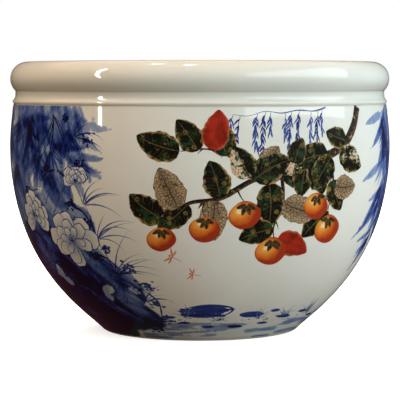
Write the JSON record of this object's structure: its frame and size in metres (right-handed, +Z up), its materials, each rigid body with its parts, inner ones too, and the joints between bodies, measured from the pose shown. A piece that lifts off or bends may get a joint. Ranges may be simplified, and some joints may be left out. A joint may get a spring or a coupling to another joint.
{
  "type": "fish bowl jardiniere",
  "caption": "Large round porcelain fish bowl or planter with a rolled rim, a ridged neck, a full belly and a narrow foot, glazed and painted.",
  "frame": {"origin": "centre of the foot, on the surface that the bowl stands on", "axes": "+Z up along the axis of rotation, -Y towards the painted front"},
  "size_m": [0.46, 0.46, 0.3244],
  "materials": {
    "glaze": "clear bluish white glaze, glossy, over white porcelain, painted under and over the glaze",
    "bare_clay": "unglazed fired porcelain, matt, toasted slightly at the edge of the glaze"
  },
  "bodies": {
    "root": {"foot_ring": "bare_clay", "base_dish": "glaze", "lower_wall": "glaze", "upper_wall": "glaze", "neck_band": "glaze", "rolled_rim": "glaze"}
  },
  "joints": []
}
